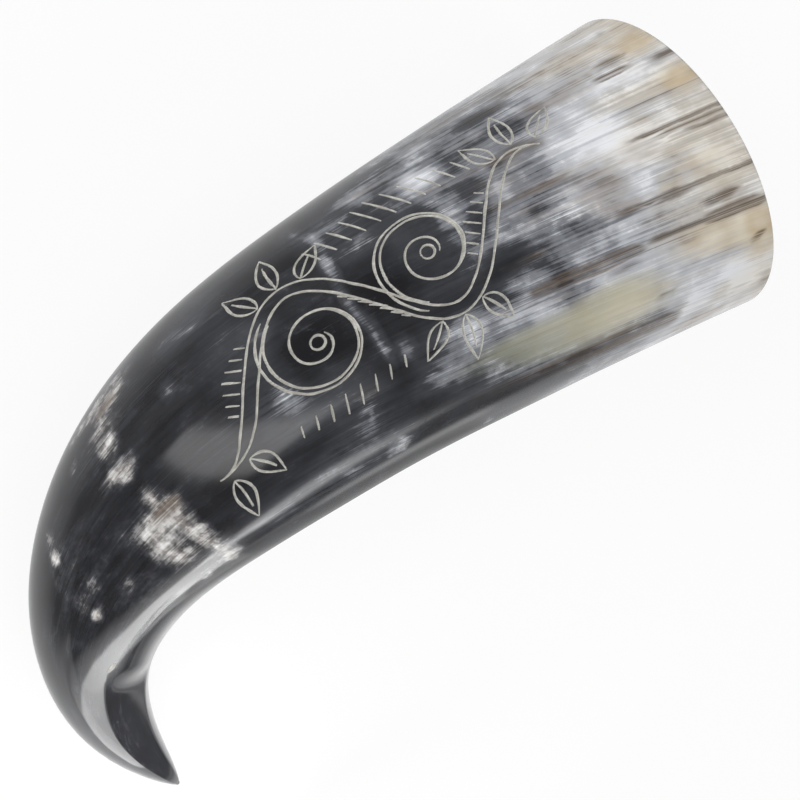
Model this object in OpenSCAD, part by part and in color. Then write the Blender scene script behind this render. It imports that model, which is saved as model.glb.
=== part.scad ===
// Drinking horn: one cleaned and polished ox horn, hollow from the mouth to about two thirds of its
// length and solid from there to the tip, with a thin food-safe coat set on the wall of the cavity.
// It lies on its flank as on a table, mouth towards +X and hook towards -Y, where it doesn't roll.
// Every place along the horn is a share u of its centre line, from 0 at the mouth to 1 at the tip.

/* [Horn] */
// Outside diameter at the mouth
mouth_d = 80; // [70:1:90]
// Length along the centre line, from the mouth to the tip
length = 255; // [240:1:300]
// Depth of the cross-section over its width
oval = 0.97; // [0.9:0.01:1.1]

/* [Curve] */
// Even sweep over the whole length, in degrees
sweep = 10.5; // [0:0.5:30]
// Turn that the hook adds to the sweep, in degrees
hook_turn = 99; // [70:1:110]
// How late the horn turns into its hook: 1 is midway, more is nearer to the tip
hook_late = 1.93; // [1.5:0.01:2.2]

/* [Taper] */
// Share of its radius that the body would lose if it ran on to the tip
body_taper = 0.47; // [0.35:0.005:0.55]
// How slim the hook is: 1 is a straight cone, less is fuller with a blunter tip
hook_slim = 0.725; // [0.65:0.005:0.85]
// Where the body starts to narrow into the hook, as a share of the length
neck_from = 0.395; // [0.3:0.005:0.45]
// Where the narrowing ends, as a share of the length
neck_to = 0.84; // [0.8:0.005:0.95]
// Where the rounded end of the tip starts, as a share of the length
tip_from = 0.996; // [0.99:0.001:0.997]

/* [Mouth] */
// Lean of the saw cut, which leaves the upper flank longer, in degrees
mouth_lean = 6; // [0:0.5:10]
// Thickness of the wall at the mouth
lip_wall = 3; // [2.5:0.1:5]
// Depth of the polished-off edge of the lip
lip_round = 1; // [0.5:0.1:1.2]

/* [Cavity] */
// Depth of the cavity, as a share of the length
cavity_depth = 0.66; // [0.5:0.01:0.75]
// How late the wall thickens: more keeps the wall thin for longer
wall_late = 3; // [2:0.1:5]
// How pointed the bottom of the cavity is
bottom_slim = 0.6; // [0.4:0.05:0.7]

/* [Lining] */
// Thickness of the coat on the wall
coat = 0.5; // [0.3:0.1:0.8]
// Depth of the coat that pooled at the bottom
pool = 4; // [3:1:8]
// Where the coat starts below the mouth, as a share of the length
coat_from = 0.015; // [0.01:0.005:0.05]

/* [Lay] */
// Roll about the mouth's axis that brings the hook's flank down to the table, in degrees
lay_roll = 14.2; // [0:0.1:60]
// Rise of the mouth's axis from the table, because the body tapers, in degrees
lay_rise = 3.45; // [-20:0.05:20]

/* [Hidden] */

sides = 48;
body_rings = 50;
cavity_rings = 26;
spine_steps = 240;
ring_bias = 1.5;
lip_mid = 0.3;
lip_spare = 0.5;
tip_cap = [60, 30];
horn_colour = [0.2, 0.2, 0.22];
coat_colour = [0.55, 0.48, 0.38];

mouth_r = mouth_d / 2;
coat_depth = cavity_depth - pool / length;

// Heading of the centre line, its direction, and the direction towards the inside of the hook
function eased(t) = let (x = max(0, min(1, t))) x * x * x * (x * (6 * x - 15) + 10);
function heading(u) = sweep * u + hook_turn * eased(pow(u, hook_late));
function along(u) = [-cos(heading(u)), -sin(heading(u)), 0];
function inward(u) = [sin(heading(u)), -cos(heading(u)), 0];

// The centre line as a sum of short steps, and a point on it
spine = [for (i = 0, p = [0, 0, 0]; i <= spine_steps;
    p = p + along((i + 0.5) / spine_steps) * length / spine_steps, i = i + 1) p];
function centre(u) =
    let (k = max(0, min(spine_steps - 1, floor(u * spine_steps))), t = u * spine_steps - k)
    spine[k] * (1 - t) + spine[k + 1] * t;

// Radius of the outside, where the body passes into the hook
function body_r(u) = mouth_r * (1 - body_taper * u);
function hook_r(u) = mouth_r * pow(1 - u, hook_slim);
function outer_r(u) =
    body_r(u) + (hook_r(u) - body_r(u)) * eased((u - neck_from) / (neck_to - neck_from));

// Radius of the cavity, and of the space inside the coat
function thinned(u, depth) = pow(1 - pow(u / depth, wall_late), bottom_slim);
function cavity_r(u) = (outer_r(u) - lip_wall) * thinned(u, cavity_depth);
function coat_r(u) = min(cavity_r(u) - coat, (outer_r(u) - lip_wall - coat) * thinned(u, coat_depth));

// One ring of points round the centre line; near the mouth the rings lean with the saw cut
function ring(u, r, ahead = 0) = [for (j = [0 : sides - 1])
    let (
        w = r * cos(360 * j / sides),
        h = r * oval * sin(360 * j / sides),
        lean = h * tan(mouth_lean) * pow(1 - u, 4)
    )
    centre(u) + w * inward(u) + [0, 0, h] + (ahead - lean) * along(u)];

// Shares of the length for a run of rings from one place to another, closer together towards its end
function run(from, to, count) =
    [for (i = [0 : count]) from + (to - from) * (1 - pow(1 - i / count, ring_bias))];

// Reversed list
function back(list) = [for (i = [len(list) - 1 : -1 : 0]) list[i]];

// The outside, from the rounded tip up to the polished-off edge of the lip
tip_r = outer_r(tip_from);
tip = centre(tip_from) + tip_r * along(tip_from);
body_from = lip_round / length;
body_run = run(body_from, tip_from, body_rings);
tip_rings = [for (a = tip_cap) ring(tip_from, tip_r * cos(a), tip_r * sin(a))];
body_stack = [for (u = back(body_run)) ring(u, outer_r(u))];
lip_drop = lip_round * (1 - sqrt(1 - pow(1 - lip_mid, 2)));
lip_cut = lip_drop + lip_round * lip_mid;
outer_lip = [
    ring(0, mouth_r - lip_drop, lip_round * lip_mid),
    ring(0, mouth_r - lip_cut - lip_spare, -lip_spare)
];

// The cavity, from the lip's inner edge down to the bottom
inner_lip = [
    ring(0, mouth_r - lip_wall + lip_cut + lip_spare, -lip_spare),
    ring(0, mouth_r - lip_wall + lip_drop, lip_round * lip_mid)
];
wall_run = run(coat_from, cavity_depth, cavity_rings);
wall_stack = [for (i = [0 : cavity_rings - 1]) ring(wall_run[i], cavity_r(wall_run[i]))];
cavity_stack = concat([ring(body_from, cavity_r(body_from))], wall_stack);

// The inside of the coat, which ends above the pool; its outside is the wall of the cavity
coat_run = run(coat_from, coat_depth, cavity_rings);
coat_stack = [for (i = [0 : cavity_rings - 1]) ring(coat_run[i], coat_r(coat_run[i]))];

// A closed solid over a stack of rings, from a first point to a last one
module stacked(first, rings, last) {
    count = len(rings);
    end = count * sides + 1;
    points = concat([first], [for (r = rings) each r], [last]);
    function at(i, j) = 1 + i * sides + (j % sides);
    fan = [for (j = [0 : sides - 1]) [0, at(0, j + 1), at(0, j)]];
    skin = [for (i = [0 : count - 2], j = [0 : sides - 1])
        each [[at(i, j), at(i, j + 1), at(i + 1, j + 1)], [at(i, j), at(i + 1, j + 1), at(i + 1, j)]]];
    close = [for (j = [0 : sides - 1]) [end, at(count - 1, j), at(count - 1, j + 1)]];
    polyhedron(points, concat(fan, skin, close));
}

// The block that the saw takes off, whose face towards the horn leaves the flat rim
module sawn_off() {
    rotate([0, mouth_lean, 0]) translate([0, -mouth_d, -mouth_d]) cube([mouth_r, 2 * mouth_d, 2 * mouth_d]);
}

// Turn of the lying horn, and the point under the middle of its box
turn_y = [[cos(lay_rise), 0, -sin(lay_rise)], [0, 1, 0], [sin(lay_rise), 0, cos(lay_rise)]];
turn_x = [[1, 0, 0], [0, cos(lay_roll), -sin(lay_roll)], [0, sin(lay_roll), cos(lay_roll)]];
outline = concat([[tip]], tip_rings, body_stack, [outer_lip[0], ring(0, mouth_r - lip_cut)]);
shell = [for (r = outline, p = r) turn_y * turn_x * p];
low = [for (k = [0 : 2]) min([for (p = shell) p[k]])];
high = [for (k = [0 : 2]) max([for (p = shell) p[k]])];
foot = [(low.x + high.x) / 2, (low.y + high.y) / 2, low.z];

module laid() {
    translate(-foot) rotate([lay_roll, -lay_rise, 0]) children();
}

module horn() {
    color(horn_colour) laid() difference() {
        stacked(
            tip,
            concat(tip_rings, body_stack, outer_lip, inner_lip, cavity_stack),
            centre(cavity_depth)
        );
        sawn_off();
    }
}

module inner_lining() {
    color(coat_colour) laid() stacked(
        centre(cavity_depth),
        concat(back(wall_stack), coat_stack),
        centre(coat_depth)
    );
}

horn();
inner_lining();
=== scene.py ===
# %% [markdown]
# This lesson dresses a drinking horn. It is one polished ox horn, near black at its hooked tip and
# streaky grey and ivory at its mouth. A scroll is cut into one flank, and a thin coat has set on the
# wall of its cavity. The CAD solids give its size and its place on the table. Both are replaced with
# finer meshes that follow the same few driving sizes, so the form stays theirs and the looks come
# from here.

# %% Load the frame
import math

import bmesh
import bpy
import numpy as np
from mathutils import Matrix, Vector, kdtree, noise


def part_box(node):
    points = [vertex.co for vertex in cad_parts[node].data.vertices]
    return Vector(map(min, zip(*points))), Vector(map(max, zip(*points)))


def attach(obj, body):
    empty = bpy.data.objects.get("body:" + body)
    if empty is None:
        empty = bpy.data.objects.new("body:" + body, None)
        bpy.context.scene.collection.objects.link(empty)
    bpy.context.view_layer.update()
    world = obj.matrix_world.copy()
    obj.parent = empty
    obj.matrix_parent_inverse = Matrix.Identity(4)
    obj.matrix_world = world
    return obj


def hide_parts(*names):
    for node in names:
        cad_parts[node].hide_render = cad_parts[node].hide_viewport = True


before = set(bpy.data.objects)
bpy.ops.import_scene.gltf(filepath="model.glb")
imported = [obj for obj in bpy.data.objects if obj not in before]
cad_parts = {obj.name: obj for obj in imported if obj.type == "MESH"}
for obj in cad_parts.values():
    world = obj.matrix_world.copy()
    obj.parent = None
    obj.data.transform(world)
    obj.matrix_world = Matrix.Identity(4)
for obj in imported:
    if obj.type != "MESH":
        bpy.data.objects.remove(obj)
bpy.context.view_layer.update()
mm = 0.001
print("nodes", sorted(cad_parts))

# %% [markdown]
# The picture looks steeply down on the engraved flank through a long lens, with the camera turned
# about its own axis so that the horn runs from corner to corner. A camera is aimed by a track
# rotation, and the roll is one more turn about the camera's own Z.

# %% Camera
camera_place = Vector((-214.27, 340.62, 586.91)) * mm
camera_aim = Vector((21.48, -9.44, 0.0)) * mm
camera_roll = math.radians(121.23)
camera_lens = 127.255

camera_data = bpy.data.cameras.new("camera")
camera_data.sensor_fit = "HORIZONTAL"
camera_data.sensor_width = 36.0
camera_data.lens = camera_lens
camera = bpy.data.objects.new("camera", camera_data)
look = (camera_aim - camera_place).to_track_quat("-Z", "Y").to_matrix().to_4x4()
camera.matrix_world = Matrix.Translation(camera_place) @ look @ Matrix.Rotation(camera_roll, 4, "Z")
bpy.context.scene.collection.objects.link(camera)
bpy.context.scene.camera = camera
print("camera", round((camera_aim - camera_place).length / mm), "mm from its aim")

# %% [markdown]
# A horn is a stack of near-round sections along a bent centre line. Modelling it by hand from a
# bent cone is possible, but then nothing ties it to the CAD solid. Here the solid's own driving
# sizes are repeated: a place on the horn is a share u of the centre line, from 0 at the mouth to
# 1 at the tip, and an angle round it, counted from the middle of the engraved flank. With the
# count starting there, the line where the angle jumps from one end to the other is on the underside.

# %% Driving sizes
mouth_r = 40 * mm
length = 255 * mm
oval = 0.97
sweep, hook_turn, hook_late = 10.5, 99.0, 1.93
body_taper, hook_slim = 0.47, 0.725
neck_from, neck_to = 0.395, 0.84
tip_from = 0.996
mouth_lean, lean_fade = math.radians(6), 4
lip_wall, lip_round = 3 * mm, 1 * mm
cavity_depth, wall_late, bottom_slim = 0.66, 3.0, 0.6
coat, pool, coat_from = 0.5 * mm, 4 * mm, 0.015
lay_roll, lay_rise = math.radians(14.2), math.radians(3.45)
flank = math.radians(125)
spine_steps = 2400

coat_depth = cavity_depth - pool / length
lay = Matrix.Rotation(-lay_rise, 3, "Y") @ Matrix.Rotation(lay_roll, 3, "X")


def clamp(x):
    return min(1.0, max(0.0, x))


def eased(t):
    """0 to 1 with a soft start and a soft end."""
    x = clamp(t)
    return x ** 3 * (x * (6 * x - 15) + 10)


def heading(u):
    """How far the centre line has turned at share u."""
    return math.radians(sweep * u + hook_turn * eased(max(0.0, u) ** hook_late))


def along(u):
    """The direction of the centre line, from the mouth to the tip."""
    return Vector((-math.cos(heading(u)), -math.sin(heading(u)), 0))


def inward(u):
    """The direction across it, towards the inner side of the bend."""
    return Vector((math.sin(heading(u)), -math.cos(heading(u)), 0))


spine = [Vector((0, 0, 0))]
for step in range(spine_steps):
    spine.append(spine[-1] + along((step + 0.5) / spine_steps) * (length / spine_steps))


def centre(u):
    """The point of the centre line at share u."""
    k = int(clamp(u) * (spine_steps - 1))
    return spine[k].lerp(spine[k + 1], u * spine_steps - k)


def outer_r(u):
    """The outer radius, which passes from the stout body to the slim hook."""
    body = 1 - body_taper * u
    hook = max(0.0, 1 - u) ** hook_slim
    return mouth_r * (body + (hook - body) * eased((u - neck_from) / (neck_to - neck_from)))


def thinned(u, depth):
    """How much of the radius is still open on the way down to depth."""
    return clamp(1 - (max(0.0, u) / depth) ** wall_late) ** bottom_slim


def cavity_r(u):
    """The radius of the cavity, whose wall thickens towards the bottom."""
    return (outer_r(u) - lip_wall) * thinned(u, cavity_depth)


def coat_r(u):
    """The radius inside the coat, which is deeper at the bottom."""
    return min(cavity_r(u) - coat, (outer_r(u) - lip_wall - coat) * thinned(u, coat_depth))


def ring_point(u, turned, r, ahead=0.0):
    """The point at share u, angle turned and radius r. Near the mouth the rings lean with the cut."""
    across, up = r * math.cos(flank + turned), r * oval * math.sin(flank + turned)
    lean = up * math.tan(mouth_lean) * (1 - u) ** lean_fade
    return lay @ (centre(u) + across * inward(u) + Vector((0, 0, up)) + (ahead - lean) * along(u))


print("centre line ends", [round(c / mm, 1) for c in centre(1.0)], "mm from the mouth")

# %% [markdown]
# One circle starts the horn's mesh. It is extruded ring by ring, from the rounded tip along the outside,
# over the polished lip and down the wall of the cavity, and its two ends are merged into poles. An
# extruded vertex keeps the values of the one that it came from, so its angle travels along.
# The horn is then moved as a whole so that its box sits where the CAD solid's box is.

# %% Rings and tube
sides = 120
body_rings, cavity_rings, round_steps = 130, 40, 5
ring_bias = 1.5
quarter = [math.radians(90 * i / round_steps) for i in range(round_steps + 1)]
body_from = lip_round / length


def run(start, end, count):
    """Shares from start to end, closer together towards the end."""
    return [start + (end - start) * (1 - (1 - i / count) ** ring_bias) for i in range(count + 1)]


def tube(rings):
    """A closed tube over rings of (share, radius, how far ahead), from pole to pole."""
    bm = bmesh.new()
    share = bm.verts.layers.float.new("share")
    turned = bm.verts.layers.float.new("turned")
    first = loop = bmesh.ops.create_circle(bm, segments=sides, radius=1.0)["verts"]
    for v in loop:
        v[turned] = math.atan2(v.co.y, v.co.x)
    edges = bm.edges[:]
    for i, (u, r, ahead) in enumerate(rings):
        if i:
            grown = bmesh.ops.extrude_edge_only(bm, edges=edges)["geom"]
            loop = [g for g in grown if isinstance(g, bmesh.types.BMVert)]
            edges = [g for g in grown if isinstance(g, bmesh.types.BMEdge) and g.is_boundary]
        for v in loop:
            v[share] = u + ahead / length
            v.co = ring_point(u, v[turned], r, ahead)
    for pole in (first, loop):
        middle = sum((v.co for v in pole), Vector()) / len(pole)
        bmesh.ops.pointmerge(bm, verts=pole, merge_co=middle)
    bmesh.ops.recalc_face_normals(bm, faces=bm.faces)
    return bm


tip_r = outer_r(tip_from)
tip_rings = [(tip_from, tip_r * math.cos(t), tip_r * math.sin(t)) for t in reversed(quarter[1:])]
body = [(u, outer_r(u), 0.0) for u in reversed(run(body_from, tip_from, body_rings))]
outer_lip = [(0.0, mouth_r - lip_round * (1 - math.cos(t)), lip_round * (1 - math.sin(t)))
             for t in quarter[1:]]
inner_lip = [(0.0, mouth_r - lip_wall + lip_round * (1 - math.cos(t)), lip_round * (1 - math.sin(t)))
             for t in reversed(quarter)]
wall = [(u, cavity_r(u), 0.0) for u in run(body_from, cavity_depth, cavity_rings)]
horn_bm = tube(tip_rings + body + outer_lip + inner_lip[:-1] + wall)

low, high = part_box("horn")
corners = [[f(v.co[k] for v in horn_bm.verts) for k in range(3)] for f in (min, max)]
foot = Vector(((corners[0][0] + corners[1][0] - low.x - high.x) / 2,
               (corners[0][1] + corners[1][1] - low.y - high.y) / 2,
               corners[0][2] - low.z))
bmesh.ops.translate(horn_bm, verts=horn_bm.verts, vec=-foot)
size_gap = [round((corners[1][k] - corners[0][k] - high[k] + low[k]) / mm, 2) for k in range(3)]
print("horn tube", len(horn_bm.faces), "faces, its box larger than the solid's by", size_gap, "mm")

# %% [markdown]
# No horn is as even as a formula. Scraping and sanding leave shallow waves of about a tenth of a
# millimetre, which nobody sees as a shape but which bend every reflection. They are added to the
# outside only, as a slow noise, and they fade out at the lip and at the tip. The inner flank of the
# tip was rasped almost flat, which leaves a soft crease beside the band of light there. The same
# function gives the exact direction of the surface, which the mesh gets as its normals in the end.

# %% Skin
sand_depth, sand_wave = 0.12 * mm, 22 * mm
sand_fade = 0.06
rasp_from, rasp_long, rasp_late, rasp_share = 0.736, 0.050, 0.018, 0.75
rasp_turn, rasp_half = math.radians(76) - flank, math.radians(29)
probe = 0.002


def rasped(u, turned, r):
    """The radius with the inner flank of the tip taken down towards a plane."""
    off = turned - rasp_turn
    if abs(off) > rasp_half:
        return r
    start = rasp_from + rasp_late * (1 - off / rasp_half) / 2
    depth = 1 - math.cos(rasp_half) / math.cos(off)
    return r * (1 - rasp_share * depth * eased((u - start) / rasp_long))


def skin(u, turned):
    """The point of the outside at share u and angle turned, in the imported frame."""
    r = outer_r(u)
    fade = clamp(u / sand_fade) * clamp((tip_from - u) / sand_fade)
    spot = Vector((r * math.cos(turned), r * math.sin(turned), u * length)) / sand_wave
    return ring_point(u, turned, rasped(u, turned, r) + sand_depth * fade * noise.noise(spot)) - foot


def skin_normal(u, turned):
    """The direction of the outside there, from four points close by."""
    u = min(u, tip_from - probe)
    ahead = skin(u + probe, turned) - skin(u - probe, turned)
    around = skin(u, turned + probe) - skin(u, turned - probe)
    return around.cross(ahead).normalized()


share = horn_bm.verts.layers.float["share"]
turned = horn_bm.verts.layers.float["turned"]
outside = horn_bm.verts.layers.float.new("outside")
for v in horn_bm.verts:
    u = v[share]
    if body_from <= u <= tip_from:
        from_axis = (v.co + foot - lay @ centre(u)).length
        if from_axis > outer_r(u) * oval - lip_wall / 2:
            v[outside] = 1.0
            v.co = skin(u, v[turned])
print(sum(v[outside] for v in horn_bm.verts), "vertices of the outside sanded")

# %% [markdown]
# The engraving is a vine scroll: a stem of two lines winds along the flank, each of its bends holds
# a spiral shoot with a round bud, and leaves with a vein stand outside the bends. It is drawn flat in
# millimetres, x along the horn from the mouth and y round it, because a drawing is easier to change
# there than on the curved skin. Each function returns one line as a list of points, or several.

# %% Scroll shapes
stem_from, stem_to, stem_wave, stem_swing = 39.0, 136.0, 60.0, 13.0
stem_crest = 44.0
stem_half, stem_point = 1.5, 13.0
spiral_turns, spiral_out, spiral_in, spiral_late = 1.75, 13.6, 2.6, 1.25
spiral_gap, spiral_join = 1.9, 0.5
leaf_vein, leaf_full, leaf_bend = 0.72, 0.75, 0.35
blade_step, blade_least = 3.8, 0.55
stem_steps, spiral_steps, ring_steps, leaf_steps = 200, 160, 40, 30


def stem(x, offset=0.0):
    """A point of the stem at x, moved sideways by offset."""
    turn = 2 * math.pi * (x - stem_crest) / stem_wave
    slope = -stem_swing * math.sin(turn) * 2 * math.pi / stem_wave
    side = Vector((-slope, 1.0, 0.0)).normalized()
    return Vector((x, stem_swing * math.cos(turn), 0.0)) + side * offset


def stem_line(side):
    """One edge of the stem, which runs to a point at both ends."""
    points = []
    for i in range(stem_steps + 1):
        x = stem_from + (stem_to - stem_from) * i / stem_steps
        swell = eased((x - stem_from) / stem_point) * eased((stem_to - x) / stem_point)
        points.append(stem(x, side * stem_half * swell))
    return points


def spiral(middle, start, sense, gap, end):
    """A shoot that leaves the stem and winds inwards round middle, as far as end."""
    points = []
    for i in range(spiral_steps + 1):
        t = end * i / spiral_steps
        r = spiral_in + (spiral_out - spiral_in) * (1 - t) ** spiral_late
        r -= gap * max(0.0, 1 - t / spiral_join)
        angle = math.radians(start) + sense * 2 * math.pi * spiral_turns * t
        points.append(middle + Vector((math.cos(angle), math.sin(angle), 0.0)) * r)
    return points


def ring(middle, r):
    """A small circle, for a bud."""
    turns = [2 * math.pi * k / ring_steps for k in range(ring_steps + 1)]
    return [middle + Vector((math.cos(t), math.sin(t), 0.0)) * r for t in turns]


def leaf(base, direction, long, wide):
    """Two edges and a vein of a pointed leaf that bends a little."""
    ahead = Vector((math.cos(math.radians(direction)), math.sin(math.radians(direction)), 0.0))
    side = Vector((-ahead.y, ahead.x, 0.0))
    lines = []
    for edge, end in ((-1, 1.0), (1, 1.0), (0, leaf_vein)):
        line = []
        for i in range(leaf_steps + 1):
            t = end * i / leaf_steps
            off = edge * wide / 2 * math.sin(math.pi * t ** leaf_full) + wide * leaf_bend * t * t
            line.append(base + ahead * long * t + side * off)
        lines.append(line)
    return lines


def blades(from_x, count, base_y, long, lean):
    """A row of slanting strokes, longest in the middle."""
    for i in range(count):
        middle = 1 - abs(2 * i / (count - 1) - 1)
        root = Vector((from_x + blade_step * i, base_y, 0.0))
        reach = long * (blade_least + (1 - blade_least) * middle)
        yield [root, root + Vector((lean, 1.0, 0.0)).normalized() * reach]


print("a stem from", stem_from, "to", stem_to, "mm from the mouth, and its shoots, leaves and strokes")

# %% [markdown]
# The shapes are put together bend by bend. Bends on one side of the stem mirror those on the other,
# so a sign, up or sense, is all that tells them apart.

# %% Scroll
spiral_start, spiral_lift, bud_r = 60, 2.0, 1.6
leaf_long, leaf_wide, leaf_gap = 11.5, 4.4, 0.6
leaf_fan, leaf_spread, leaf_shrink = 38, 0.11, 0.06
blade_long = 9.5
tick_step, tick_long, tick_shrink, tick_gap, tick_lean = 1.5, 4.0, 0.6, 0.7, 1.2

drawn = [stem_line(1), stem_line(-1)]
for crest, sense in ((stem_crest + stem_wave / 2, 1), (stem_crest + stem_wave, -1)):
    middle = Vector((crest, spiral_lift * sense, 0.0))
    drawn.append(spiral(middle, -spiral_start * sense, sense, 0.0, 1.0))
    drawn.append(spiral(middle, -spiral_start * sense, sense, spiral_gap, spiral_join))
    drawn.append(ring(middle, bud_r))
for bend in range(4):
    x, up = stem_crest + bend * stem_wave / 2, 1 if bend % 2 == 0 else -1
    for fan in (-leaf_fan, 0, leaf_fan):
        foot_x = x - fan * leaf_spread
        if foot_x < stem_to - 1:
            base = stem(foot_x, up * (stem_half + leaf_gap))
            drawn += leaf(base, up * (90 + fan), leaf_long - abs(fan) * leaf_shrink, leaf_wide)
drawn += blades(55.0, 11, 15.0, blade_long, 0.45)
for line in blades(90.0, 8, 15.5, blade_long * 0.55, 0.30):
    drawn.append([Vector((p.x, -p.y, 0.0)) for p in line])
for bend in range(3):
    x, up = stem_crest + (bend + 0.5) * stem_wave / 2, 1 if bend % 2 == 0 else -1
    for tick in range(-3, 4):
        root = stem(x + tick * tick_step, up * (stem_half + tick_gap))
        slant = Vector((tick_lean * up, up, 0.0)).normalized()
        drawn.append([root, root + slant * (tick_long - abs(tick) * tick_shrink)])
print(len(drawn), "lines drawn")

# %% [markdown]
# Every line is cut twice, each time with a hand that shakes a little and lifts off at both ends, which
# is what makes an engraved line uneven in width. The cuts become a cloud of samples in a search tree,
# so that any place on the skin can ask how far the nearest cut is. One accidental nick joins them.

# %% Samples of the cuts
cut_half, cut_depth, cut_end = 0.22, 0.24, 0.35
sample, strokes = 0.1, 2
shake, shake_wave, shake_row = 0.20, 3.5, 3.7
shake_apart = Vector((0.0, 0.0, 9.1))
taper = 2.5
nick_from, nick_to, nick_half = Vector((187.4, -12.6, 0.0)), Vector((190.4, -10.9, 0.0)), 0.75


def cut_samples(points, seed, half):
    """Places along a line, moved by an unsteady hand, each with the half width of the cut."""
    total = sum((b - a).length for a, b in zip(points, points[1:]))
    gone, places = 0.0, []
    for a, b in zip(points, points[1:]):
        span = (b - a).length
        count = max(1, int(span / sample))
        for i in range(count):
            at = gone + span * i / count
            spot = Vector((at / shake_wave, seed * shake_row, 0.5))
            slip = Vector((noise.noise(spot), noise.noise(spot + shake_apart), 0.0)) * shake
            thin = cut_end + (1 - cut_end) * min(1.0, at / taper, (total - at) / taper)
            places.append((a.lerp(b, (at - gone) / span if span else 0.0) + slip, half * thin))
        gone += span
    return places


cuts = []
for number, points in enumerate(drawn):
    for stroke in range(strokes):
        cuts += cut_samples(points, number * strokes + stroke, cut_half)
cuts += cut_samples((nick_from, nick_to), 0, nick_half)
cut_tree = kdtree.KDTree(len(cuts))
for i, (place, _) in enumerate(cuts):
    cut_tree.insert(place, i)
cut_tree.balance()
print(len(cuts), "samples of the cuts")

# %% [markdown]
# The mesh has to be finer than a cut is wide, but only where the cuts are. So the faces near a line
# are subdivided four times, each time in a narrower band, and every new vertex is put back on the
# skin. Then the vertices inside a cut sink along the inward direction.

# %% Cutting
scroll_turn = math.radians(19)
bands = (1.9, 1.0, 0.50, 0.24)
fully_outside = 0.99


def on_skin(v):
    """Whether a vertex lies on the outside. A new one gets the average of its neighbours' values."""
    return v[outside] > fully_outside


def flat(v):
    """A vertex of the outside in the plane of the drawing."""
    u = v[share]
    return Vector((u * length / mm, (v[turned] - scroll_turn) * outer_r(u) / mm, 0.0))


def cut_at(v):
    """How deep the cut is at a vertex, from 0 to 1, and how far the nearest line is."""
    _, i, gap = cut_tree.find(flat(v))
    return max(0.0, 1 - (gap / cuts[i][1]) ** 2), gap


for band in bands:
    near = {v for v in horn_bm.verts if on_skin(v) and cut_at(v)[1] < band}
    edges = {e for v in near for f in v.link_faces for e in f.edges}
    before = set(horn_bm.verts)
    bmesh.ops.subdivide_edges(horn_bm, edges=list(edges), cuts=1, use_grid_fill=True)
    for v in horn_bm.verts:
        if v not in before and on_skin(v):
            v.co = skin(v[share], v[turned])
cut = horn_bm.verts.layers.float.new("cut")
for v in horn_bm.verts:
    if on_skin(v):
        v[cut] = cut_at(v)[0]
        if v[cut] > 0:
            v.co -= skin_normal(v[share], v[turned]) * cut_depth * mm * v[cut]
horn_bm.normal_update()
in_cuts = sum(v[cut] > 0 for v in horn_bm.verts)
print("horn", len(horn_bm.faces), "faces,", in_cuts, "vertices in the cuts")
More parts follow.
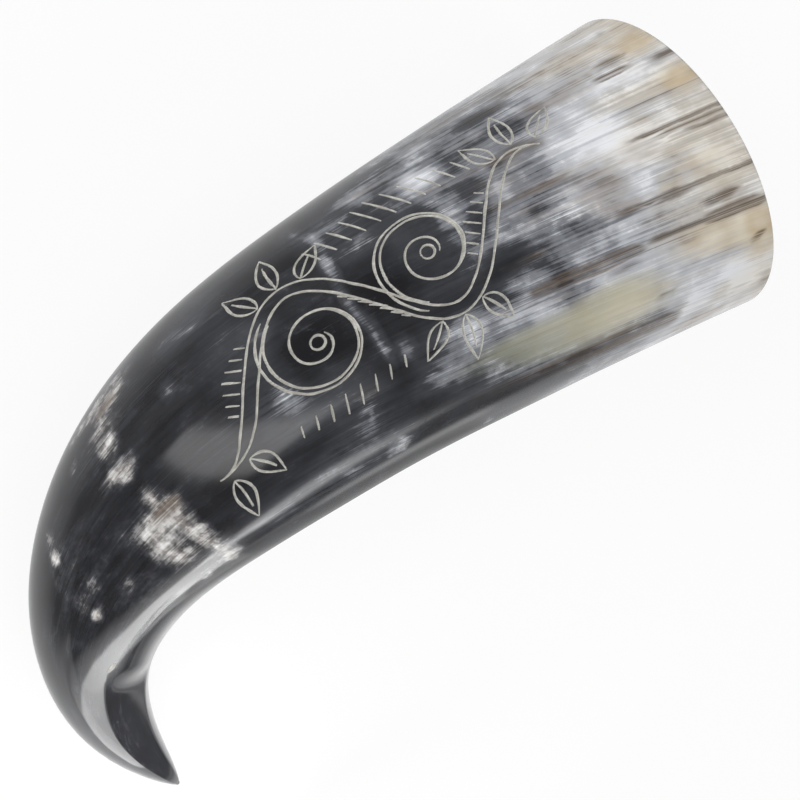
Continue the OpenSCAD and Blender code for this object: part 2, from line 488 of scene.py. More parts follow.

# %% [markdown]
# Where a horn is pale, dark, olive or brown is grown, not random. The places could be painted on with a
# brush, but a list can be read and changed, so they are listed: distance from the mouth in
# millimetres, angle round the horn in degrees from the inner side of the bend, half size along and
# around, and strength. Each entry is a soft blot, drawn out along the fibres. The tone also fades by
# itself from the pale mouth to the dark tip.
# One long tone blot, at 52 degrees and 40 mm from the mouth, is not grown: it is painted shade that
# darkens the lower flank.

# %% Markings and painted shade
pale_tone, dark_tone = 0.75, 0.17
pale_from, pale_to = 20.0, 94.0
marks = {
    "tone": [
        (42, 75, 22, 7, -0.20), (54, 66, 32, 12, -0.12), (56, 95, 30, 12, 0.12),
        (70, 103, 20, 9, 0.20), (72, 114, 17, 8, 0.20), (87, 100, 9, 7, 0.15),
        (42, 128, 15, 10, -0.22), (60, 128, 12, 10, -0.24), (70, 124, 14, 8, -0.10),
        (44, 151, 7, 7, -0.10), (42, 176, 12, 8, -0.20), (43, 189, 13, 8, -0.26),
        (44, 203, 10, 9, -0.12), (54, 177, 8, 6, -0.12), (66, 176, 8, 10, 0.36),
        (59, 194, 8, 8, 0.34), (60, 205, 14, 10, 0.14), (78, 190, 8, 9, 0.28),
        (86, 170, 9, 14, 0.10), (93, 128, 2.0, 16, 0.24), (94.2, 147, 1.9, 16, 0.25),
        (93, 165, 2.2, 13, 0.27), (91.3, 179, 2.2, 11, 0.25), (94, 193, 2.8, 11, 0.24),
        (89, 119, 3, 8, 0.24), (53, 150, 4, 20, 0.18), (65, 150, 5, 20, 0.20),
        (30, 150, 24, 18, 0.04), (3, 115, 9, 60, 0.06), (14, 170, 7, 6, 0.10),
        (18, 116, 14, 7, -0.12), (19, 126, 7, 7, -0.10), (30, 76, 12, 7, -0.12),
        (30, 173, 12, 6, -0.10), (3, 167, 6, 3, -0.16), (84, 143, 12, 15, -0.08),
        (15, 183, 20, 7, 0.05), (99, 79, 4, 9, 0.20), (106, 62, 2.5, 9, 0.12),
        (76, 60, 2, 9, 0.12), (124, 187, 8, 12, 0.12), (132, 168, 2.5, 7, 0.14),
        (60, 290, 25, 20, 0.18), (75, 330, 18, 15, 0.16), (60, 250, 20, 15, -0.12),
        (100, 300, 5, 40, 0.16), (103, 109, 11, 17, 0.13), (110, 94, 16, 10, 0.13),
        (114, 80, 18, 9, 0.10), (104, 126, 8, 12, 0.07), (122, 88, 14, 7, 0.07),
        # the long blot at 52 degrees, 40 mm from the mouth, is painted shade on the lower flank
        (50, 150, 14, 60, -0.06), (40, 52, 45, 12, -0.12), (16, 58, 14, 12, -0.04),
        (6, 75, 10, 14, 0.14), (20, 76, 22, 16, 0.09), (22, 145, 14, 14, 0.16),
        (35, 120, 10, 8, -0.15), (58, 114, 10, 13, 0.15), (82, 104, 10, 15, 0.16),
        (79, 92, 7, 8, 0.08), (63, 146, 7, 12, -0.17), (71, 145, 8, 26, -0.07),
        (63, 175, 7, 10, 0.13), (70, 186, 8, 10, 0.14), (90, 183, 9, 13, 0.13),
        (42, 188, 11, 20, -0.09), (6, 170, 6, 7, -0.14), (117, 128, 9, 11, 0.12),
        (112, 160, 6, 9, 0.11), (118, 194, 9, 13, 0.11), (138, 209, 8, 10, 0.16),
        (132, 82, 12, 9, 0.10), (86, 64, 14, 9, -0.12), (134, 116, 7, 10, -0.09),
        (115, 118, 13, 15, 0.11), (70, 110, 24, 8, 0.12), (20, 140, 18, 9, 0.13),
        (65, 178, 9, 12, 0.11), (88, 186, 10, 11, 0.10), (63, 148, 6, 8, -0.10),
        (38, 80, 6, 5, -0.14), (6, 72, 8, 12, 0.10), (62, 74, 24, 7, -0.12),
        (50, 111, 14, 5, -0.10), (104, 89, 15, 22, 0.12), (126, 85, 19, 19, 0.08),
        (118, 152, 9, 45, 0.08), (104, 140, 9, 17, -0.09),
    ],
    "olive": [
        (48, 90, 34, 17, 1.15), (68, 95, 20, 13, 0.7), (36, 98, 20, 8, 0.4), (45, 310, 20, 14, 0.6),
    ],
    "ochre": [
        (4, 157, 8, 11, 1.0), (2, 195, 6, 20, 0.5), (20, 126, 5, 5, 0.6), (38, 88, 14, 8, 0.35),
        (22, 186, 16, 8, 0.4), (3, 92, 8, 22, 0.7), (10, 130, 9, 10, 0.4), (14, 100, 18, 8, 0.4),
        (5, 178, 8, 10, 0.6), (4, 270, 6, 30, 0.5), (12, 98, 22, 15, 0.5), (8, 122, 16, 13, 0.45),
        (8, 182, 18, 14, 0.45), (16, 112, 16, 8, 0.35),
    ],
    "brown": [
        (36, 110, 6, 3.4, 0.9), (10, 112, 7, 2.4, 0.7), (28, 85, 6, 3.4, 0.6),
        (42, 77, 17, 4, 0.55), (5, 92.5, 2.6, 2.6, 1.2), (13, 176, 7, 3, 0.6),
        (7, 195, 4, 3.5, 0.5), (44, 165, 8, 4, 0.7), (54, 166, 9, 3, 0.4), (42, 190, 10, 6, 0.6),
        (66, 128, 9, 4, 0.6), (147.5, 127, 6, 7, 0.9), (142, 193, 6, 5, 0.7), (97, 160, 4, 8, 0.7),
        (96, 176, 5, 9, 0.7), (97, 148, 4, 7, 0.6), (101, 112, 6, 6, 0.5), (93, 112, 5, 6, 0.4),
        (19, 127, 5, 5, 0.35), (30, 240, 22, 4, 0.7), (20, 300, 18, 3.5, 0.6),
        (45, 340, 15, 5, 0.6),
    ],
    "fibre": [
        (151, 116, 7.5, 12, 0.15), (152, 101, 6, 10, 0.45), (147, 106, 4.2, 42, 1.1),
        (154, 112, 4.6, 28, 1.0), (149, 127, 8, 13, 1.0), (147.5, 79, 5, 15, 0.7),
        (155, 77, 5, 8, 0.5), (147.5, 139, 3, 8, 0.9), (147.5, 156, 4.6, 10, 1.2),
        (151, 160, 3.2, 6, 0.8), (146.5, 172, 4.2, 11, 1.1), (145, 184, 6.5, 11, 1.0),
        (141, 193, 7, 8, 1.0), (143.5, 202, 14, 11, 1.1), (154, 187, 3.2, 5, 0.9),
        (174.5, 126, 2.8, 7.5, 1.4), (174, 137, 4.5, 8, 0.6), (168.8, 169, 2.6, 9, 1.2),
        (167.3, 181, 2, 11, 0.9), (168, 137, 1.6, 13, 0.55), (164.5, 118, 3, 4, 0.7),
        (172.5, 160, 2.4, 8, 0.5), (98, 79, 4, 7, 0.6), (131, 167, 2.4, 8, 0.5),
        (167, 135, 18, 60, 0.20), (153, 74, 14, 14, 0.25), (150, 250, 6, 25, 0.8),
        (152, 320, 5, 20, 0.7), (178, 280, 3, 12, 0.6), (140, 20, 5, 18, 0.6),
    ],
}
print("blots:", ", ".join("%d of %s" % (len(rows), name) for name, rows in marks.items()))

# %% [markdown]
# The sums of the blots are stored as one value per vertex, and the material later adds the ragged
# edges. The fibres turn slowly round the horn, so each vertex also gets coordinates of its own in the
# grain: a straight cylinder with the turn taken out, on which a noise can be drawn out lengthwise.

# %% Marked horn
fibre_turn = 0.15
grain_r = 37.0


def mesh_values(mesh, name):
    """One stored value for each vertex of a mesh."""
    values = np.zeros(len(mesh.vertices), np.float32)
    mesh.attributes[name].data.foreach_get("value", values)
    return values.astype(float)


def blots(s, angle, rows):
    """The sum of the listed blots at distances s and angles, in millimetres and degrees."""
    total = np.zeros_like(s)
    for at_s, at_angle, half_s, half_angle, weight in rows:
        around = (angle - at_angle - fibre_turn * (s - at_s) + 180) % 360 - 180
        far = ((s - at_s) / half_s) ** 2 + (around / half_angle) ** 2
        total += weight * np.clip(1 - far, 0, None) ** 2
    return total


def mark(mesh, names):
    """Stores the grain's own coordinates and the named markings on a mesh."""
    s = mesh_values(mesh, "share") * length / mm
    turned = mesh_values(mesh, "turned")
    turn = turned - np.radians(fibre_turn) * s
    grain = np.stack([grain_r * np.cos(turn), grain_r * np.sin(turn), s], axis=1)
    layer = mesh.attributes.new("grain", "FLOAT_VECTOR", "POINT")
    layer.data.foreach_set("vector", grain.astype(np.float32).ravel())
    fade = np.clip((s - pale_from) / (pale_to - pale_from), 0, 1)
    for name in names:
        field = blots(s, np.degrees(turned + flank), marks[name])
        if name == "tone":
            field += pale_tone + (dark_tone - pale_tone) * fade * fade * (3 - 2 * fade)
        mesh.attributes.new(name, "FLOAT", "POINT").data.foreach_set("value", field.astype(np.float32))


def piece(name, bm, node):
    """A finished mesh as a piece that rides on the root and stands for a CAD node."""
    mesh = bpy.data.meshes.new(name)
    bm.to_mesh(mesh)
    mesh.shade_smooth()
    made = bpy.data.objects.new(name, mesh)
    bpy.context.scene.collection.objects.link(made)
    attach(made, "root")
    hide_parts(node)
    return made


normals = [skin_normal(v[share], v[turned]) if on_skin(v) and v[cut] == 0 else v.normal.copy()
           for v in horn_bm.verts]
horn = piece("polished_horn", horn_bm, "horn")
horn.data.normals_split_custom_set_from_vertices(normals)
mark(horn.data, marks)
print("polished_horn", len(horn.data.polygons), "faces with", ", ".join(marks))

# %% [markdown]
# The coat is a thin closed skin: its outside lies a hair inside the wall of the cavity, it ends just
# below the lip, and it is thicker at the bottom, where the resin pooled before it set. A Solidify
# modifier would make it equally thick all over, so it is a second tube of rings instead.

# %% Coat
hair = 0.02 * mm
backing = [(u, max(0.0, cavity_r(u) - hair), 0.0)
           for u in reversed(run(coat_from, cavity_depth, cavity_rings))]
face = [(u, max(0.0, coat_r(u)), 0.0) for u in run(coat_from, coat_depth, cavity_rings)]
coat_bm = tube(backing + face)
bmesh.ops.translate(coat_bm, verts=coat_bm.verts, vec=-foot)
lining = piece("amber_coat", coat_bm, "inner_lining")
mark(lining.data, ["tone"])
horn_bm.free()
coat_bm.free()
print("amber_coat", len(lining.data.polygons), "faces")

# %% [markdown]
# The horn's material is mostly sums, products and mixes. Written out as nodes and links it would take
# pages. A small class holds one socket, so that plain arithmetic on two of them adds the node
# and the links, and one method adds any other kind of node.

# %% Sockets with arithmetic


class Wire:
    """An output socket of a node tree."""

    def __init__(self, tree, socket=None):
        self.tree, self.socket = tree, socket

    def node(self, kind, settings=None, sockets=None, out=0):
        """Adds a node: its settings first, then values or links for its sockets."""
        made = self.tree.nodes.new(kind)
        for name, value in (settings or {}).items():
            setattr(made, name, value)
        for key, value in (sockets or {}).items():
            if isinstance(value, Wire):
                self.tree.links.new(value.socket, made.inputs[key])
            else:
                made.inputs[key].default_value = value
        return Wire(self.tree, made.outputs[out])

    def maths(self, operation, first, second):
        return self.node("ShaderNodeMath", {"operation": operation}, {0: first, 1: second})

    def __add__(self, other):
        return self.maths("ADD", self, other)

    def __sub__(self, other):
        return self.maths("SUBTRACT", self, other)

    def __mul__(self, other):
        return self.maths("MULTIPLY", self, other)

    def __rsub__(self, other):
        return self.maths("SUBTRACT", other, self)

    __radd__ = __add__
    __rmul__ = __mul__

    def ramp(self, start, end):
        """0 below start and 1 above end, with a smooth step between."""
        return self.node("ShaderNodeMapRange", {"interpolation_type": "SMOOTHSTEP"},
                         {"Value": self, "From Min": start, "From Max": end})

    def mix(self, first, second):
        """The first colour where this is 0 and the second where it is 1."""
        return self.node("ShaderNodeMix", {"data_type": "RGBA"}, {0: self, 6: first, 7: second}, 2)

    def tones(self, *stops):
        """A colour for each tone; stops are (tone, colour) from dark to light."""
        colour = stops[0][1]
        for (start, _), (end, lighter) in zip(stops, stops[1:]):
            colour = self.ramp(start, end).mix(colour, lighter)
        return colour

    def field(self, name, out="Fac"):
        """A value that is stored on the mesh."""
        return self.node("ShaderNodeAttribute", {"attribute_name": name}, out=out)

    def streaks(self, across, along, detail, rough, shift):
        """Noise in the grain's coordinates, drawn out along the fibres; sizes in millimetres."""
        stretched = self.node("ShaderNodeVectorMath", {"operation": "MULTIPLY_ADD"},
                              {0: self.field("grain", "Vector"), 1: (1 / across, 1 / across, 1 / along),
                               2: (shift, 2 * shift, 0)})
        return self.node("ShaderNodeTexNoise", {}, {"Vector": stretched, "Scale": 1.0, "Detail": detail,
                                                    "Roughness": rough})


def material(name):
    """An empty node material, its tree as a wire, and its output node."""
    made = bpy.data.materials.new(name)
    made.use_nodes = True
    made.node_tree.nodes.clear()
    out = made.node_tree.nodes.new("ShaderNodeOutputMaterial")
    return made, Wire(made.node_tree), out


def rgb(r, g, b):
    """A colour that covers fully."""
    return (r, g, b, 1.0)


print("arithmetic ready")

# %% [markdown]
# What is irregular in the horn's colour comes from noises, each drawn out by its own amounts: hair-fine
# fibres and long streaks along the horn, clouds in all directions, ripples and a weave round it. On
# Object coordinates they would cut straight through the bend, so they use the grain's coordinates. A
# noise lies between 0 and 1, and half is taken off, so that adding it keeps the average.

# %% Noises
fibre_sway = 2.0
horn_paint, wire, out = material("horn_paint")
fine = wire.streaks(0.32, 26.0, 2.0, 0.6, 0.0) - 0.5
mid = wire.streaks(1.3, 40.0, 3.0, 0.6, 7.3) - 0.5
long = wire.streaks(0.62, 120.0, 3.0, 0.65, 103.7) - 0.5
dust = wire.streaks(8.0, 22.0, 3.0, 0.55, 117.1) - 0.5
broad = wire.streaks(7.0, 60.0, 2.0, 0.5, 19.1) - 0.5
cloud = wire.streaks(7.0, 9.0, 4.0, 0.56, 31.7) - 0.5
haze = wire.streaks(12.0, 13.0, 2.0, 0.5, 91.9) - 0.5
ripple = wire.streaks(9.0, 3.0, 4.0, 0.6, 83.3) - 0.5
hairs = wire.streaks(0.28, 16.0, 2.0, 0.6, 43.9) - 0.5
ragged = wire.streaks(2.4, 2.0, 4.0, 0.7, 57.3) - 0.5
weave = wire.streaks(4.5, 0.8, 3.0, 0.65, 67.7) - 0.5
grain = wire.field("grain", "Vector")
grain_x, grain_y, along_mm = (wire.node("ShaderNodeSeparateXYZ", {}, {0: grain}, k) for k in range(3))
around_mm = wire.maths("ARCTAN2", grain_y, grain_x) * grain_r + cloud * fibre_sway
print("noises", len(wire.tree.nodes), "nodes")

# %% [markdown]
# One number, the tone, says how light the horn is. To the grown tone of the markings it adds streaks in
# the pale third, stronger clouds and flecks where pale and dark meet, and thin light hairs in the dark
# half. The fibre patches of the dark half break through like smoke, with threads in them. A painted
# picture could hold all this too, but sums of noises need no image and stay sharp close up.

# %% Tone
grown = wire.field("tone")
meeting = grown.ramp(0.20, 0.38) * (1.0 - grown.ramp(0.50, 0.72))
plain = grown.ramp(0.45, 0.70)
pale_streaks = haze * 0.62 + cloud * 0.28 + broad * 0.28 + mid * 0.30 + fine * 0.26 + long * 0.42
meeting_streaks = cloud * 0.62 + haze * 0.30 + ripple * 0.10 + mid * 0.36 + fine * 0.24 + long * 0.30
flecks = (hairs + cloud * 0.8).ramp(0.08, 0.36) * meeting * 0.18
dark_hairs = (hairs + broad * 0.6 + cloud * 0.4).ramp(0.12, 0.42) * (1.0 - plain) * 0.14
tone = grown + pale_streaks * plain + meeting_streaks * meeting
tone = tone + cloud * 0.14 + mid * 0.08 + fine * 0.04 + flecks + dark_hairs
patch = wire.field("fibre")
smoke = (patch + ragged * 0.8 + cloud * 1.1 + hairs * 0.5).ramp(0.06, 1.25)
threads = (weave * 0.5 + ragged * 0.9 + hairs * 0.7 + cloud * 0.8).ramp(-0.30, 0.34)
tone = tone + smoke * (0.29 + threads * 0.42)
print("tone", len(wire.tree.nodes), "nodes")

# %% [markdown]
# The tone picks a colour from a warm scale near the mouth and from a cool one further down. A Color Ramp
# node could hold each scale, but as a chain of mixes it reads as a list of tones and their colours.
# Taupe dust, an olive patch and ochre stains near the lip are mixed over it.

# %% Colours
dusky_share, olive_share, ochre_share = 0.55, 0.78, 0.8
warm = tone.tones((0.10, rgb(0.007, 0.006, 0.005)), (0.30, rgb(0.045, 0.035, 0.026)),
                  (0.50, rgb(0.23, 0.19, 0.15)), (0.70, rgb(0.48, 0.445, 0.395)),
                  (0.95, rgb(0.76, 0.735, 0.69)))
cool = tone.tones((0.10, rgb(0.009, 0.009, 0.0105)), (0.30, rgb(0.043, 0.045, 0.052)),
                  (0.50, rgb(0.181, 0.189, 0.208)), (0.70, rgb(0.422, 0.435, 0.463)),
                  (0.95, rgb(0.735, 0.75, 0.785)))
cooled = (along_mm + broad * 70.0 + haze * 60.0).ramp(-4.0, 34.0) * (1.0 - smoke * 0.55)
base = cooled.mix(warm, cool)
dusky = (dust + mid * 0.35 + long * 0.25).ramp(0.0, 0.22) * grown.ramp(0.36, 0.58)
base = (dusky * dusky_share).mix(base, rgb(0.275, 0.235, 0.205))

olive = (wire.field("olive") + broad * 0.9 + mid * 0.7 + cloud * 0.5).ramp(0.05, 1.05)
olive_dye = (along_mm + cloud * 40.0 + mid * 30.0).ramp(32.0, 72.0).mix(
    rgb(0.50, 0.455, 0.315), rgb(0.235, 0.236, 0.180))
base = (olive * grown.ramp(0.26, 0.46) * olive_share).mix(base, olive_dye)
ochre = (wire.field("ochre") + mid * 1.0 + long * 0.6 + haze * 0.5).ramp(0.05, 1.05) * plain
ochre_dye = (haze + 0.5).ramp(0.40, 0.62).mix(rgb(0.50, 0.385, 0.235), rgb(0.64, 0.575, 0.45))
base = (ochre * ochre_share).mix(base, ochre_dye)
print("colours", len(wire.tree.nodes), "nodes")

# %% [markdown]
# Single brown fibres are too thin for values stored on vertices, so they are drawn in the material.
# Each row holds an angle, where the line starts and ends in millimetres from the mouth, its half width
# and its strength. The noises then break the lines up.

# %% Brown lines
brown_lines = [
    (105.3, -3, 19, 1.4, 0.90), (105.2, 8, 33, 0.8, 0.70), (111.5, 2, 18, 1.3, 0.75),
    (104.4, 28, 62, 1.7, 1.00), (99.5, 28, 45, 1.1, 0.40), (119.0, -8, 35, 0.7, 0.60),
    (118.6, 12, 27, 1.1, 0.75), (118.4, 24, 37, 1.2, 0.65), (136.8, -8, 15, 0.6, 0.55),
    (139.3, -8, 21, 0.6, 0.55), (141.6, -8, 26, 0.6, 0.55), (139.5, 36, 62, 0.8, 0.55),
    (167.5, -8, 9, 1.5, 0.60), (169.5, 7, 23, 1.0, 0.75), (175.0, 6, 20, 1.8, 0.50),
    (157.0, 34, 56, 2.2, 0.55), (66.0, 22, 84, 3.2, 0.85), (117.5, 48, 76, 1.2, 0.60),
]
line_end, brown_share = 7.0, 0.92
brown = wire.field("brown")
for degrees, start, end, half, weight in brown_lines:
    middle = math.radians(degrees - math.degrees(flank)) * grain_r
    across = 1.0 - wire.maths("ABSOLUTE", around_mm - middle, 0.0).ramp(half * 0.2, half * 1.7)
    inside = along_mm.ramp(start, start + line_end) * (1.0 - along_mm.ramp(end - line_end, end))
    brown = wire.maths("MAXIMUM", brown, across * inside * weight)
lined = (long * 1.5 + fine * 0.9).ramp(-0.24, 0.24) * 0.7 + 0.3
brown = (brown + mid * 0.5 + cloud * 0.4).ramp(0.08, 0.62) * brown.ramp(0.02, 0.25) * lined
brown = brown * (grown + smoke).ramp(0.15, 0.50)
brown_dye = (fine + 0.5).ramp(0.30, 0.70).mix(rgb(0.040, 0.028, 0.019), rgb(0.135, 0.095, 0.064))
base = (brown * brown_share).mix(base, brown_dye)
print(len(brown_lines), "brown lines")

# %% [markdown]
# Freshly cut horn is pale and dull, so the scroll looks chalky beside the polish, which is finest at the
# tip. The faces in the cuts could have a material of their own, but its edge would be as jagged as the
# mesh. So the depth of the cut, stored on each vertex, mixes the colour and the roughness.

# %% Cuts and polish
tip_rough, body_rough, smoke_rough, cut_rough = 0.09, 0.08, 0.16, 0.45
cut_share = wire.field("cut")
groove = cut_share.ramp(0.0, 0.25)
chalk = (ragged + hairs * 0.6 + cut_share * 0.2).ramp(-0.15, 0.35).mix(
    rgb(0.54, 0.53, 0.49), rgb(0.30, 0.29, 0.26))
base = groove.mix(base, chalk)
rough = tip_rough + (1.0 - along_mm.ramp(120.0, 175.0)) * body_rough
rough = rough + smoke * smoke_rough + groove * cut_rough
horn_shader = wire.node("ShaderNodeBsdfPrincipled", {},
                        {"Base Color": base, "Roughness": rough, "IOR": 1.54})
wire.tree.links.new(horn_shader.socket, out.inputs["Surface"])
horn.data.materials.append(horn_paint)
print("horn_paint", len(wire.tree.nodes), "nodes")

# %% [markdown]
# The coat is a clear amber resin, so what shows is the raw inside of the horn, warmed and darkened. A
# see-through shader would need many bounces of light inside the cavity to look much the same, so the
# coat is opaque and glossy, in the colours that show through it.

# %% Coat material
coat_paint, wire, out = material("coat_paint")
inner = wire.streaks(2.0, 40.0, 3.0, 0.6, 71.0)
raw = (wire.field("tone") + (inner - 0.5) * 0.8).ramp(0.2, 0.8)
amber = inner.ramp(0.40, 0.62).mix(rgb(0.24, 0.17, 0.10), rgb(0.42, 0.33, 0.21))
raw = raw.mix(rgb(0.060, 0.042, 0.026), amber)
coat_shader = wire.node("ShaderNodeBsdfPrincipled", {},
                        {"Base Color": raw, "Roughness": 0.14, "IOR": 1.5})
wire.tree.links.new(coat_shader.socket, out.inputs["Surface"])
lining.data.materials.append(coat_paint)
print("coat_paint", len(wire.tree.nodes), "nodes")

# %% [markdown]
# The background is plain white, so the floor has to come out white without more light on the horn. Rays
# from the camera see mostly a white glow and a little of the lit floor, which keeps the soft shadow.
# Mirrored rays see about as much of one as of the other, because a polished horn shows its floor. They
# see painted shade on it in two places, as a small table in a dark room would look: far off on the outer
# side of the bend, and beside the body on the hook's side. Rays that carry light see an ordinary pale
# floor.

# %% Floor
floor_half, glow_straight, glow_mirrored = 4.0, 0.90, 0.45
dusk, dusk_share, beside_share = 0.22, 0.90, 0.55
away_slope, away_edge, far_edge = 0.5, (0.015, 0.06), (0.025, 0.09)
beside_from, beside_to, beside_edge = (-0.042, -0.012), (0.05, 0.08), (-0.04, -0.01)
floor_bm = bmesh.new()
bmesh.ops.create_grid(floor_bm, x_segments=1, y_segments=1, size=floor_half)
floor_mesh = bpy.data.meshes.new("floor")
floor_bm.to_mesh(floor_mesh)
floor_bm.free()
floor = bpy.data.objects.new("floor", floor_mesh)
bpy.context.scene.collection.objects.link(floor)


def rays(wire):
    """1 for rays from the camera, 1 for mirrored rays, and how far a ray has come."""
    path = wire.tree.nodes.new("ShaderNodeLightPath").outputs
    names = ("Is Camera Ray", "Is Glossy Ray", "Is Transmission Ray", "Ray Length")
    camera_ray, glossy_ray, clear_ray, far = (Wire(wire.tree, path[name]) for name in names)
    return camera_ray, wire.maths("MAXIMUM", glossy_ray, clear_ray), far


floor_paint, wire, out = material("floor_paint")
lit = wire.node("ShaderNodeBsdfDiffuse", {}, {"Color": rgb(0.8, 0.8, 0.8)})
glow = wire.node("ShaderNodeEmission", {}, {"Color": rgb(1, 1, 1), "Strength": 1.0})
dim = wire.node("ShaderNodeEmission", {}, {"Color": rgb(1, 1, 1), "Strength": dusk})
straight, mirrored, far = rays(wire)
place = wire.node("ShaderNodeTexCoord", {}, {}, "Object")
place_x, place_y = (wire.node("ShaderNodeSeparateXYZ", {}, {0: place}, k) for k in (0, 1))
# Painted shade: away and beside darken the floor by its place, for mirrored rays only.
away = (place_y - place_x * away_slope).ramp(*away_edge)
beside = place_x.ramp(*beside_from) * (1.0 - place_x.ramp(*beside_to))
beside = beside * (1.0 - place_y.ramp(*beside_edge))
shade = away * far.ramp(*far_edge) * dusk_share + beside * beside_share
white_share = straight * glow_straight + mirrored * glow_mirrored
white = wire.node("ShaderNodeMixShader", {}, {0: white_share, 1: lit, 2: glow})
both = wire.node("ShaderNodeMixShader", {}, {0: mirrored * shade, 1: white, 2: dim})
wire.tree.links.new(both.socket, out.inputs["Surface"])
floor_mesh.materials.append(floor_paint)
print("floor", floor_half * 2, "m wide")

# %% [markdown]
# The room is the sky of the scene. Seen straight or mirrored it is dim, so that the dark half of the
# horn stays dark, and a little lighter low on the outer side of the bend. Rays that carry light see an
# even soft light instead.

# %% Room
room_outer, room_inner, room_high, room_light = 0.38, 0.14, 0.14, 0.36
world = bpy.data.worlds.new("studio")
bpy.context.scene.world = world
world.use_nodes = True
world.node_tree.nodes.clear()
wire = Wire(world.node_tree)
direction = wire.node("ShaderNodeTexCoord", {}, {}, "Generated")
outward, height = (wire.node("ShaderNodeSeparateXYZ", {}, {0: direction}, k) for k in (1, 2))
room_low = outward.ramp(0.0, 0.9) * (room_outer - room_inner) + room_inner
dim_room = height.ramp(0.0, 0.35) * (room_high - room_low) + room_low
straight, mirrored, _ = rays(wire)
seen = straight + mirrored
strength = seen * dim_room + (1.0 - seen) * room_light
backdrop = wire.node("ShaderNodeBackground", {}, {"Color": rgb(1, 1, 1), "Strength": strength})
world_out = world.node_tree.nodes.new("ShaderNodeOutputWorld")
wire.tree.links.new(backdrop.socket, world_out.inputs["Surface"])
print("room from", room_inner, "to", room_outer, "where it is seen, and", room_light, "as light")

# %% [markdown]
# A polished horn shows its lamps as shapes, so they are placed by their reflections. Three strips on
# the hook's side draw soft bands along the lower flank of the body, and a long panel overhead gives the
# grey patch in front of the bend. Each of these rows holds the two ends of a lamp, what it faces, how
# wide it is and how bright its face is. The key and the fill are large squares that give most of the
# light, and they are left out of reflections.

# %% Lamps


def panel(name, middle, along, target, size, radiance):
    """A rectangular lamp at middle with its long side along a direction, facing the target."""
    data = bpy.data.lights.new(name, "AREA")
    data.shape = "RECTANGLE"
    data.size, data.size_y = size
    data.energy = radiance * math.pi * size[0] * size[1]
    lamp = bpy.data.objects.new(name, data)
    back = (middle - target).normalized()
    side = (along - along.project(back)).normalized()
    turn = Matrix((side, back.cross(side), back)).transposed().to_4x4()
    lamp.matrix_world = Matrix.Translation(middle) @ turn
    lamp.visible_camera = False
    bpy.context.scene.collection.objects.link(lamp)
    return lamp


body_middle = Vector((0.0, 0.02, 0.04))
down = Vector((0.0, 0.0, -1.0))
strips = [
    ("strip_right", (0.170, -1.10, 0.610), (-0.040, -1.10, 0.440), body_middle, 0.24, 4.0),
    ("strip_middle", (-0.050, -1.10, 0.460), (-0.050, -1.10, 0.370), body_middle, 0.15, 6.0),
    ("strip_low", (0.005, -0.150, 0.045), (0.062, -0.150, 0.045), body_middle, 0.025, 1.0),
    ("overhead", (-0.110, -0.140, 0.60), (-0.790, 0.684, 0.60), None, 0.20, 2.6),
]
for name, start, end, target, wide, radiance in strips:
    start, end = Vector(start), Vector(end)
    middle = (start + end) / 2
    panel(name, middle, end - start, target or middle + down, ((end - start).length, wide), radiance)
large_side, large_along = 0.7, Vector((1.0, 0.6, 0.0))
for name, middle, radiance in (("key", (-0.65, 1.15, 0.90), 9.8), ("fill", (0.95, -0.85, 0.60), 4.2)):
    lamp = panel(name, Vector(middle), large_along, body_middle, (large_side, large_side), radiance)
    lamp.visible_glossy = False

# %% [markdown]
# The band of light along the hook widens and bends with it, which no rectangle can draw. So it is the
# reflection of a card whose shape is given by its two edges, station by station: x and z of the near
# and of the far edge in millimetres, the brightness between them, and that of a soft rim on the near
# side. The rows across the card say how far from edge to edge they lie and what share of the two
# brightnesses they have. A second, round card lies in the hollow of the hook and lifts the wedge of
# light there. The cards add light and hide nothing: their material is a glow added to clear glass.

# %% Cards
card_y = -0.100
card_edges = [
    (-37, 48, -53, 89, 6.0, 0.8), (-45, 47, -63, 83, 6.0, 0.7), (-57, 45, -77, 75, 7.5, 0.8),
    (-70, 46, -95, 71, 7.0, 0.8), (-83, 48, -118, 68, 7.6, 1.3), (-97, 49, -140, 55, 6.7, 2.1),
    (-105, 44, -150, 31, 4.7, 2.2), (-102, 33, -137, 7, 3.6, 1.3), (-91, 19, -108, 0.5, 3.0, 0.2),
    (-81, 7.5, -90, 0.5, 2.6, 0.0),
]
card_rows = [
    (-1.0, 0.0, 0.7), (-0.06, 0.0, 1.0), (0.0, 1.0, 0.0),
    (1.0, 1.0, 0.0), (1.12, 0.30, 0.0), (2.20, 0.0, 0.0),
]
card_least_z = 0.5
hollow_middle, hollow_half = Vector((-0.060, -0.084, 0.0005)), Vector((0.034, 0.056, 0.0))
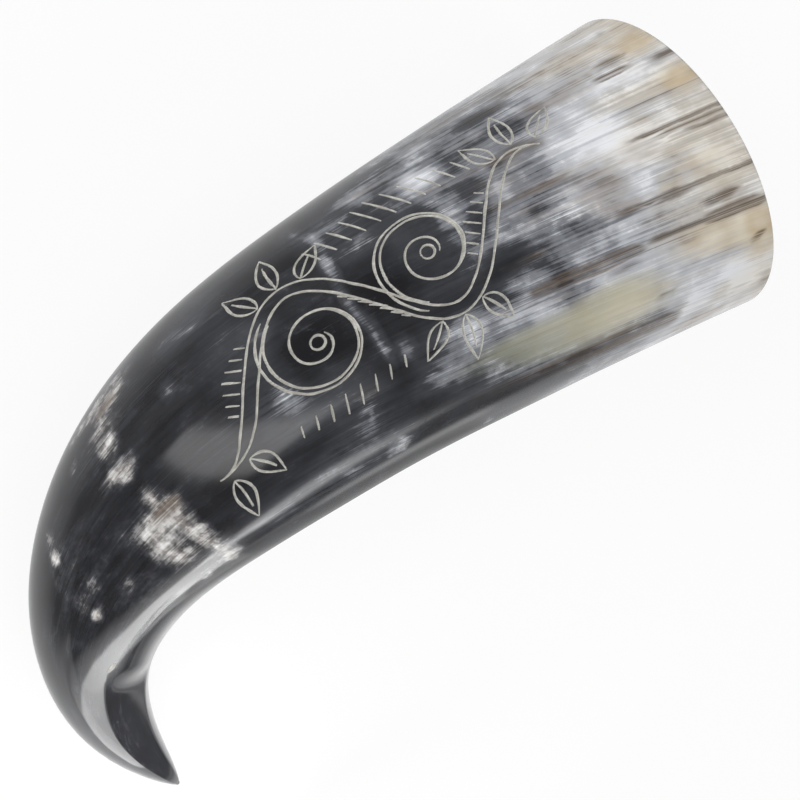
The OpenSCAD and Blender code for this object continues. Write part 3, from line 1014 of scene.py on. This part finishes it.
hollow_glow, hollow_fade, hollow_steps = 0.34, 1.4, 8

card_paint, wire, out = material("card_paint")
shine = wire.node("ShaderNodeEmission", {}, {"Color": wire.field("glow", "Color"), "Strength": 1.0})
clear = wire.node("ShaderNodeBsdfTransparent")
glass = wire.node("ShaderNodeAddShader", {}, {0: shine, 1: clear})
wire.tree.links.new(glass.socket, out.inputs["Surface"])


def glow_card(name, columns):
    """A glowing card over columns of points, each with how bright it is there."""
    bm = bmesh.new()
    glow_layer = bm.verts.layers.float.new("glow")
    last_column, last_row = len(columns) - 1, len(columns[0]) - 1
    bmesh.ops.create_grid(bm, x_segments=last_column, y_segments=last_row, size=1.0)
    for v in bm.verts:
        column, row = (v.co.x + 1) / 2 * last_column, (v.co.y + 1) / 2 * last_row
        v.co, v[glow_layer] = columns[round(column)][round(row)]
    mesh = bpy.data.meshes.new(name)
    bm.to_mesh(mesh)
    bm.free()
    made = bpy.data.objects.new(name, mesh)
    bpy.context.scene.collection.objects.link(made)
    made.visible_camera = made.visible_shadow = False
    mesh.materials.append(card_paint)


standing = []
for near_x, near_z, far_x, far_z, bright, rim in card_edges:
    column = []
    for across, share_bright, share_rim in card_rows:
        x, z = near_x + (far_x - near_x) * across, near_z + (far_z - near_z) * across
        place = Vector((x * mm, card_y, max(card_least_z, z) * mm))
        column.append((place, bright * share_bright + rim * share_rim))
    standing.append(column)
glow_card("hook_card", standing)
lying = []
for i in range(hollow_steps + 1):
    column = []
    for j in range(hollow_steps + 1):
        x, y = 2 * i / hollow_steps - 1, 2 * j / hollow_steps - 1
        place = hollow_middle + Vector((hollow_half.x * x, hollow_half.y * y, 0.0))
        column.append((place, hollow_glow * eased(hollow_fade * (1 - math.hypot(x, y)))))
    lying.append(column)
glow_card("hollow_card", lying)
print("cards of", len(standing), "and", len(lying), "columns")

# %% [markdown]
# The pictures use the Standard view transform. The finer meshes may not outgrow the solids that they
# stand for.

# %% Finish
bpy.context.scene.view_settings.view_transform = "Standard"
